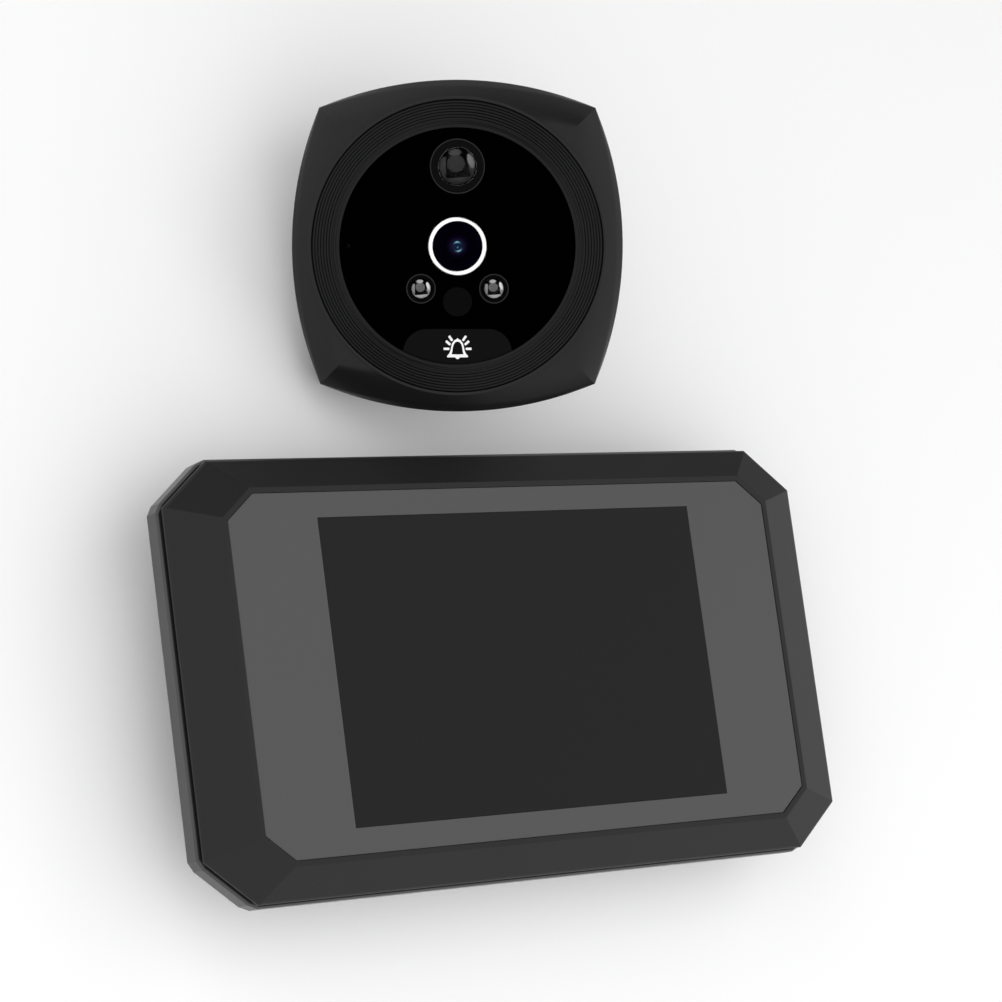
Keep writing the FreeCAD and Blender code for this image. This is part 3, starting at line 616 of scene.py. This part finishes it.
def screw_skin(x, y, low, high, head_r, shank_r, head_high, up):
    """Cross-recessed screw: a domed head with a recess in the shape of a four-armed star, and a shank with a
    fine helical thread: radius less a ridge of height along the turn. Its head is at the low end where up is
    true."""
    turn = np.linspace(0, 2 * np.pi, 48, endpoint=False)
    star = np.abs(np.cos(2 * turn)) ** 6
    tall = high - low - head_high
    rings = []
    for share in (0.0, 0.12, 0.25, 0.4, 0.55, 0.62, 0.75, 0.9, 1.0):
        deep = np.where(share < 0.18 + 0.42 * star, 0.45, 0.0) * head_high
        rings.append(round_row(turn, share * head_r, deep + 0.12 * head_high * share ** 2))
    rings.append(round_row(turn, head_r, head_high * 0.85))
    rings.append(round_row(turn, shank_r, head_high))
    for h in np.linspace(0, tall * 0.96, int(tall / 0.12)):
        wave = np.abs(((h / 0.7 - turn / (2 * np.pi)) % 1.0) * 2 - 1)
        r = shank_r - 0.2 * shank_r * wave * min(1.0, (tall - h) / 0.6)
        rings.append(round_row(turn, r, head_high + h))
    rings.append(round_row(turn, 0.0, high - low))
    grid = np.stack(rings)
    grid[..., 2] = low + grid[..., 2] if up else high - grid[..., 2]
    return skin(grid + (x, y, 0))


def make_screws():
    """Case, board and back-plate screws, one piece for each set."""
    case = [screw_skin(x, y, 1.9, 14.5, 1.9, 0.95, 1.3, True) for x, y in POSTS]
    build("case_screw_set", case, "case_screws", sharp=35.0)
    board = [screw_skin(x, y, 9.5, 14.9, 1.7, 0.8, 0.8, False) for x, y in ((10.0, 24.0), (53.6, -6.0))]
    build("board_screw_set", board, "board_screws", sharp=35.0)
    corners = [(sx * 19.4, sy * 19.4) for sx in (-1, 1) for sy in (-1, 1)]
    back = [screw_skin(x, y, 0.1, 6.5, 1.8, 0.8, 0.5, True) for x, y in corners]
    build("back_screw_set", back, "head_screws", head=True, sharp=35.0)


def make_screen_unit():
    """Pieces of the screen unit made here, then the CAD pieces with softened edges."""
    make_screen_bezel()
    make_front_plate()
    make_springs()
    make_cells()
    dress("rear_shell", 0.2, 14.0, sink=(15.6, 0.42))
    dress("screen_glass", 0.06)
    dress("battery_door", 0.25)
    dress("view_button", 0.3, 35.0)
    for node, width in (("wall_bracket", 0.22), ("ribbon_socket", 0.15), ("lcd_module", 0.2),
                        ("lcd_frame", 0.15), ("main_board", 0.06), ("board_chips", 0.12),
                        ("speaker", 0.25), ("battery_plates", 0.05), ("view_switch", 0.12),
                        ("view_plunger", 0.1), ("lcd_gasket", 0.08)):
        dress(node, width)


# camera head

FACE_R = 24.15
COLLAR_Z = 12.3
WINDOW_Z = 11.5
DOME_Y = 12.9
LAMP_X, LAMP_Y = 5.92, -6.88


def four_arcs(half, corner, turn):
    """Distance from the axis, at each angle, of an outline of four equal arcs that meet at
    (+-corner, +-corner) and pass (half, 0): reach cos a + sqrt(R^2 - reach^2 sin^2 a), a measured from the
    middle of the side."""
    rise = half - corner
    radius = (corner * corner + rise * rise) / (2 * rise)
    reach = half - radius
    a = (turn + np.pi / 4) % (np.pi / 2) - np.pi / 4
    return reach * np.cos(a) + np.sqrt(radius ** 2 - (reach * np.sin(a)) ** 2)


def side_angles(count):
    """Angles round the head, closer together near the four corners: 45 degrees times a sine on each side."""
    s = np.linspace(-1, 1, count, endpoint=False)
    side = np.pi / 4 * np.sin(np.pi / 2 * s)
    return np.concatenate([side + k * np.pi / 2 for k in range(4)])


def face_height(x, y):
    """Height of the sloping face. On each side t runs from 0 at the bevel's inner arc to 1 at the knee arc;
    the height is 8 + 3.4 (1 - (1 - t)^1.35) up to the knee and rises gently beyond it."""
    a = np.maximum(np.abs(x), np.abs(y))
    b = np.minimum(np.abs(x), np.abs(y))
    outer = arc_line(26.1, 22.5, b)
    knee = arc_line(20.6, 19.1, b)
    t = np.clip((outer - a) / (outer - knee), 0, 1)
    beyond = np.maximum(knee - a, 0)
    return 8.0 + 3.4 * (1 - (1 - t) ** 1.35) + 0.16 * beyond


def arc_line(half, corner, b):
    """Height of one such arc over its side, at the distance b from the side's middle."""
    rise = half - corner
    radius = (corner * corner + rise * rise) / (2 * rise)
    return half - radius + np.sqrt(radius ** 2 - b ** 2)


def make_head_case():
    """Housing: rows of points at the same angles, from the back edge up the wall, over the bevel and the
    sloping face to the knee and the round collar, then down inside it and back to the rear edge."""
    turn = side_angles(56)
    cos, sin = np.cos(turn), np.sin(turn)
    wall = four_arcs(27.05, 22.5, turn)
    bevel = four_arcs(26.1, 22.5, turn) - 0.02
    knee = np.maximum(four_arcs(20.6, 19.1, turn), FACE_R)
    cavity = four_arcs(25.25, 21.12, turn)
    rows = [round_row(turn, wall, 0.6), round_row(turn, wall, 7.0), round_row(turn, bevel, 8.0)]
    for start, stop, steps in ((bevel, knee, 12), (knee, FACE_R, 5)):
        for share in np.linspace(0, 1, steps + 1)[1:]:
            r = start + (stop - start) * share
            rows.append(round_row(turn, r, face_height(r * cos, r * sin)))
    for r, z in ((FACE_R, COLLAR_Z), (23.7, COLLAR_Z), (23.7, 10.0), (18.6, 10.0), (18.6, 5.0),
                 (cavity, 5.0), (cavity, 0.6)):
        rows.append(round_row(turn, r, z))
    radii = [0.3, 0.22, 0.3] + [0.0] * 16 + [0.08, 0.08, 0.05, 0.05, 0.1, 0.1, 0.1, 0.3]
    build("head_case", [skin(soften(np.stack(rows), radii, 4), True)], "head_bezel", head=True, sharp=18.0)


def make_grooved_ring():
    """Turned ring: sloping inner lip, a bright bead, seven ridges and a sunk outer edge. The ridges' height
    is 0.17 |sin|^0.8 over a floor that falls slightly outwards."""
    pitch, first = 0.46, 20.32
    lip = [(19.15, WINDOW_Z), (19.15, 11.86), (19.3, 12.0), (19.66, 12.06), (19.78, 12.24), (19.9, COLLAR_Z),
           (20.03, 12.24), (20.14, 12.1), (first, 12.1)]
    t = np.linspace(0, 7, 7 * 8 + 1)[1:]
    ridges = np.column_stack((first + pitch * t, 12.1 + 0.17 * np.abs(np.sin(np.pi * t)) ** 0.8 - 0.012 * t))
    outer = [(23.6, 11.98), (23.69, 11.9), (23.69, 10.0), (20.7, 10.0), (20.7, WINDOW_Z)]
    ring = turned(np.concatenate((lip, ridges, outer)), count=192)
    build("grooved_ring_turned", [skin(ring, True)], "grooved_ring", head=True, sharp=38.0)


def make_stem():
    """Hollow threaded stem: radius 6.5 less 0.5 times a trapezium wave of height / pitch - angle / turn,
    with a cone at the tip; then the bore, the flange inside the head, the collar and the relief."""
    top, tip = -0.5, -17.15
    turn = np.linspace(0, 2 * np.pi, 64, endpoint=False)
    rows = []
    for z in np.arange(top, tip, -0.125):
        wave = np.abs(((z - turn / (2 * np.pi)) % 1.0) * 2 - 1)
        depth = 0.5 * np.clip(1.6 * wave - 0.3, 0, 1) * min(1.0, (top - z) / 0.3)
        rows.append(round_row(turn, np.minimum(6.5 - depth, 5.6 + (z - tip)), z))
    for r, z in ((5.6, tip), (4.5, tip), (4.5, 2.6), (10.0, 2.6), (10.0, 1.8), (7.4, 1.8), (7.4, 0.6),
                 (6.0, 0.6), (6.0, top)):
        rows.append(round_row(turn, r, z))
    build("stem_turned", [skin(np.stack(rows), True)], "threaded_stem", head=True, sharp=45.0)


def make_lens():
    """Silver ring, stepped barrel and front glass. The glass is a shallow dome, height 0.66 (1 - share^2).
    Its attributes give the distance from its middle, and two arcs and a spot of glint painted into its colour."""
    ring = soften([(3.9, WINDOW_Z), (4.05, 11.92), (4.3, 12.0), (4.6, 11.98), (4.85, 11.7),
                   (4.85, WINDOW_Z)], 0.12, 4)
    build("lens_ring_turned", [skin(turned(ring, count=128), True)], "lens_ring", head=True, sharp=40.0)
    steps = [(1.2, 7.6), (3.85, 7.6), (3.85, WINDOW_Z), (3.62, WINDOW_Z), (3.45, 11.2), (3.2, 11.14),
             (3.1, 10.8), (2.75, 10.72), (2.62, 10.35), (2.32, 10.28), (2.2, 9.9), (2.05, 9.86), (2.05, 8.4),
             (1.2, 8.4)]
    barrel = turned(soften(steps, 0.05, 3), count=96)
    build("lens_steps", [skin(barrel, True)], "lens_barrel", head=True, sharp=30.0)
    glass_r = 2.0
    share = np.linspace(0, 1, 40)
    dome = np.column_stack((glass_r * share, 9.24 + 0.66 * (1 - share ** 2)))
    base = np.array([(glass_r, 9.24), (glass_r, 8.4), (0.0, 8.4)])
    grid = turned(np.concatenate((dome, base)), count=64)
    x, y = grid[..., 0], grid[..., 1]
    r = np.hypot(x, y)
    angle = np.degrees(np.arctan2(y, x))
    # Painted glint: two thin arcs and a spot, put into the glass's colour through the along attribute.
    painted_glint_arcs = (np.exp(-((r - 0.68) / 0.1) ** 2 - ((angle - 96) / 32) ** 2)
            + np.exp(-((r - 0.82) / 0.1) ** 2 - ((angle + 72) / 28) ** 2))
    painted_glint_spot = 0.45 * np.exp(-(np.hypot(x - 0.04, y + 0.2) / 0.1) ** 2)
    build("lens_front", [skin(grid)], "lens_glass", head=True, sharp=40.0,
          attributes={"across": (r / glass_r).ravel(), "along": np.clip(painted_glint_arcs + painted_glint_spot, 0, 1).ravel()})


def superellipse(a, b, power, count=40):
    """Closed outline |x/a|^p + |y/b|^p = 1."""
    turn = np.linspace(0, 2 * np.pi, count, endpoint=False)
    c, s = np.cos(turn), np.sin(turn)
    x = a * np.sign(c) * np.abs(c) ** (2 / power)
    y = b * np.sign(s) * np.abs(s) ** (2 / power)
    return np.column_stack((x, y))


def at_heights(*pairs):
    """Rows of points from pairs of a flat outline and its height."""
    return np.stack([np.column_stack((line, np.full(len(line), z))) for line, z in pairs])


def flat_bar(outline, low, high):
    """Thin solid with the given outline between two heights; its caps close at the outline's middle."""
    middle = np.repeat(outline.mean(axis=0)[None], len(outline), axis=0)
    return skin(at_heights((middle, low), (outline, low), (outline, high), (middle, high)))


def ray_lengths(polygon, centre, turn):
    """Distance from the centre to a star-shaped polygon at each angle, between dense points of its edge."""
    polygon = np.asarray(polygon, float)
    t = np.linspace(0, 1, 40, endpoint=False)[:, None]
    nearby = np.roll(polygon, -1, axis=0)
    dense = np.concatenate([a + (b - a) * t for a, b in zip(polygon, nearby)]) - centre
    angle = np.arctan2(dense[:, 1], dense[:, 0])
    order = np.argsort(angle)
    return np.interp(turn, angle[order], np.hypot(*dense.T)[order], period=2 * np.pi)


def make_bell_sign(low, high):
    """Plain ringing-bell sign: a band between an outer and an inner bell outline, three bars each side."""
    right = [(0.0, -14.86), (0.12, -15.02), (0.5, -15.22), (0.88, -15.72), (1.04, -16.3), (1.16, -16.95),
             (1.36, -17.4), (1.7, -17.78), (1.68, -18.0), (0.42, -18.0), (0.2, -18.22), (0.0, -18.3)]
    inner = [(0.0, -15.44), (0.32, -15.53), (0.62, -15.88), (0.76, -16.4), (0.84, -17.0), (0.96, -17.5),
             (0.0, -17.54)]
    centre = np.array((0.0, -16.8))
    turn = np.linspace(-np.pi, np.pi, 200, endpoint=False)
    loops = []
    for half in (right, inner):
        whole = half + [(-x, y) for x, y in half[-2:0:-1]]
        r = ray_lengths(whole, centre, turn)
        loops.append(np.column_stack((centre[0] + r * np.cos(turn), centre[1] + r * np.sin(turn))))
    outer, inner = loops
    skins = [skin(at_heights((inner, low), (inner, high), (outer, high), (outer, low)), True)]
    for x, y, angle in ((1.80, -16.62, 0.0), (1.52, -15.66, 42.0), (1.12, -14.92, 56.0)):
        c, s = math.cos(math.radians(angle)), math.sin(math.radians(angle))
        bar = superellipse(0.47, 0.19, 14.0) @ np.array(((c, s), (-s, c))) + (x, y)
        for side in (1, -1):
            skins.append(flat_bar(bar * (side, 1), low, high))
    build("bell_sign", skins, "bell_button", WHITE_PRINT, head=True, sharp=30.0, replace=False)


def oval(u, v, x, y, long, wide, tilt=0.0):
    """Distance outside an oval, about 0 on its outline and negative inside."""
    a = math.radians(tilt)
    p = (u - x) * math.cos(a) + (v - y) * math.sin(a)
    q = (v - y) * math.cos(a) - (u - x) * math.sin(a)
    return (np.hypot(p / long, q / wide) - 1) * min(long, wide)


def painted_reflection_disc(x, y, size, base, painted_tones):
    """Slightly domed disc inside a clear dome, with reflections painted on it. Its tones, of 255, paint its
    dark ground, pale reflections at the left, below and at the right, a grey ball, a reflected oval and a
    glint as a painted highlight, each lighter towards the top. Each shape is a mask that fades over 0.05 of
    the radius."""
    turn = np.linspace(0, 2 * np.pi, 120, endpoint=False)
    share = np.linspace(0, 1, 41)[:, None]
    u, v = share * np.cos(turn), share * np.sin(turn)
    # Painted reflections: pale patches at the left, below and at the right, a grey ball, a reflected oval and
    # a glint as a painted highlight.
    shapes = (np.maximum(u + 0.62, v - 0.5), v + 0.6 - 0.08 * u, np.maximum(0.56 - u - 0.3 * v, v),
              oval(u, v, -0.08, 0.15, 0.47, 0.47), oval(u, v, -0.14, 0.76, 0.36, 0.2),
              oval(u, v, 0.74, 0.3, 0.2, 0.42, 18.0))
    value = np.full_like(u, painted_tones[0])
    for outside, there in zip(shapes, painted_tones[1:]):
        mask = np.clip(0.5 - outside / 0.05, 0, 1)
        # Painted shade: each shape is a little darker towards the bottom of the disc and lighter towards the
        # top.
        value = value * (1 - mask) + there * (0.92 + 0.12 * v) * mask
    value = ((value / 255 + 0.055) / 1.055) ** 2.4
    swell = base + 0.1 * size * (1 - share ** 2) + 0 * u
    top_side = np.stack((x + size * u, y + size * v, swell), axis=-1)
    grid = np.concatenate((top_side, (top_side - (0, 0, 0.08))[::-1]))
    return skin(grid), np.concatenate((value, value[::-1])).ravel()


def collar(x, y, hole, outer, high, body):
    """Flat ring with a thin raised rim, and the attribute that paints a highlight on the rim: body on the
    ring, 1 on the rim.
    """
    rim_z = WINDOW_Z + high
    profile = soften([(hole, WINDOW_Z), (hole, 11.56), (outer - 0.26, 11.55), (outer - 0.18, rim_z),
                      (outer - 0.04, rim_z), (outer, WINDOW_Z)], 0.025, 3)
    grid = turned(profile, x, y, 96)
    # The painted highlight's attribute: 1 on the raised rim, body on the ring.
    return skin(grid, True), np.where(grid[..., 2] > 11.58, 1.0, body).ravel()


def make_motion_dome():
    """Clear dome over a dark disc with painted reflections and a painted glint, in a collar with a rim painted
    paler as a highlight.
    """
    r = 3.25
    t = np.radians(np.linspace(90, 20, 24))
    dome = np.column_stack((r * np.cos(t), 9.9 + r * np.sin(t)))
    foot = np.array([(3.07, 9.95), (3.9, 9.95), (3.9, 9.35), (0.0, 9.35)])
    shell = turned(np.concatenate((dome, foot)), 0, DOME_Y, 72)
    build("motion_dome_clear", [skin(shell)], "motion_dome", head=True, sharp=40.0)
    part, values = collar(0, DOME_Y, 3.15, 4.48, 0.2, 0.09)
    build("motion_collar", [part], "motion_ring", head=True, sharp=35.0, attributes={"painted_rim_shading": values})
    # Disc with painted reflections and a painted glint under the dome.
    part, values = painted_reflection_disc(0, DOME_Y, 2.86, 11.05, (4, 66, 62, 56, 50, 72, 130))
    build("dome_painted_reflections", [part], "motion_dome", PAINTED_REFLECTIONS, head=True, sharp=40.0, replace=False,
          attributes={"level": values})


def make_lamps():
    """Two infrared lamps: clear bulbs with two legs, discs with painted reflections and glints, and collars
    with rims painted paler as a highlight.
    """
    r = 1.65
    t = np.radians(np.linspace(90, 8, 18))
    tip = np.column_stack((r * np.cos(t), 10.81 + r * np.sin(t)))
    bulb = np.concatenate((tip, [(r, 10.9), (r, 7.4), (0.0, 7.4)]))
    leg = superellipse(0.25, 0.25, 8.0, 16)
    collars = []
    bulbs = []
    reflection_discs = []
    for x in (-LAMP_X, LAMP_X):
        collars.append(collar(x, LAMP_Y, 1.73, 2.43, 0.18, 0.0))
        bulbs.append(skin(turned(bulb, x, LAMP_Y, 48)))
        for side in (-0.9, 0.9):
            bulbs.append(flat_bar(leg + (x + side, LAMP_Y), 5.0, 7.5))
        # Disc with painted reflections and a painted glint under each bulb.
        reflection_discs.append(painted_reflection_disc(x, LAMP_Y, 1.5, 11.25, (3, 160, 215, 185, 105, 185, 252)))
    rim_highlight_values = np.concatenate([values for _, values in collars])
    reflection_levels = np.concatenate([values for _, values in reflection_discs])
    build("lamp_collar_pair", [part for part, _ in collars], "lamp_collars", head=True, sharp=35.0,
          attributes={"painted_rim_shading": rim_highlight_values})
    build("lamp_bulbs", bulbs, "infrared_lamps", head=True, sharp=40.0)
    build("lamp_painted_reflections", [part for part, _ in reflection_discs], "infrared_lamps", PAINTED_REFLECTIONS, head=True,
          sharp=40.0, replace=False, attributes={"level": reflection_levels})


def make_head():
    """Pieces of the camera head made here, then the CAD pieces with softened edges."""
    make_head_case()
    make_grooved_ring()
    make_stem()
    make_lens()
    make_motion_dome()
    make_lamps()
    make_bell_sign(11.64, 11.69)
    dress("front_window", 0.05, 30.0)
    dress("bell_button", 0.06, 35.0)
    for node, width in (("light_window", 0.05), ("head_back_plate", 0.2), ("foam_gasket", 0.1),
                        ("head_board", 0.06), ("head_ribbon_socket", 0.12), ("camera_module", 0.15),
                        ("motion_sensor", 0.25), ("bell_switch", 0.12), ("bell_plunger", 0.08),
                        ("light_sensor", 0.08)):
        dress(node, width)
    dress("microphone", 0.15, finish=moulded("microphone_cap", 0.10, 0.6, 3600.0, 0.002))


# surroundings

def make_floor():
    """Plain pale floor, slightly uneven in tone so that it doesn't look cut out."""
    side = np.linspace(-1500.0, 1500.0, 3)
    x, y = np.meshgrid(side, side)
    points, quads = skin(np.stack((x, y, np.full_like(x, -0.02)), axis=-1), False, False)
    mesh = bpy.data.meshes.new("floor")
    mesh.from_pydata((points * MM).tolist(), [], quads.tolist())
    f = Finish("floor_paper", Specular_IOR_Level=0.0)
    cloud = f.noise(3.0, 2.0)
    tint = f.mix(cloud, grey(0.955), grey(0.975))
    mesh.materials.append(f.drive(Base_Color=tint, Roughness=0.9 + cloud * 0.05))
    floor = bpy.data.objects.new("floor", mesh)
    bpy.context.scene.collection.objects.link(floor)


def make_card(name, place, width, height):
    """Dark card that stands in the room facing the model and keeps the light off what mirrors it."""
    middle = Vector((0, 0, 0.015))
    face = (middle - Vector(place)).to_track_quat("Z", "Y").to_matrix().to_4x4()
    side = np.array([(-width, -height), (width, -height), (width, height), (-width, height)]) / 2
    mesh = bpy.data.meshes.new(name)
    corners = [Matrix.Translation(Vector(place)) @ face @ Vector((x, y, 0)) for x, y in side]
    mesh.from_pydata([tuple(c) for c in corners], [], [(0, 1, 2, 3)])
    f = Finish(name, Specular_IOR_Level=0.0)
    mesh.materials.append(f.drive(Base_Color=f.mix(f.noise(20.0), grey(0.010), grey(0.016)), Roughness=0.9))
    card = bpy.data.objects.new(name, mesh)
    card.visible_camera = False
    bpy.context.scene.collection.objects.link(card)


def make_studio():
    """Even pale surroundings, with two dark cards on the far side."""
    scene = bpy.context.scene
    scene.view_settings.view_transform = "Standard"
    world = bpy.data.worlds.new("studio")
    scene.world = world
    world.use_nodes = True
    background = world.node_tree.nodes["Background"]
    background.inputs["Color"].default_value = grey(1.0)
    background.inputs["Strength"].default_value = 1.16
    make_floor()
    make_card("far_card", (0.05, 0.40, 0.36), 0.34, 0.34)
    make_card("low_card", (0.36, 0.36, 0.10), 0.46, 0.20)


make_camera()
make_studio()
make_screen_unit()
make_screws()
make_head()
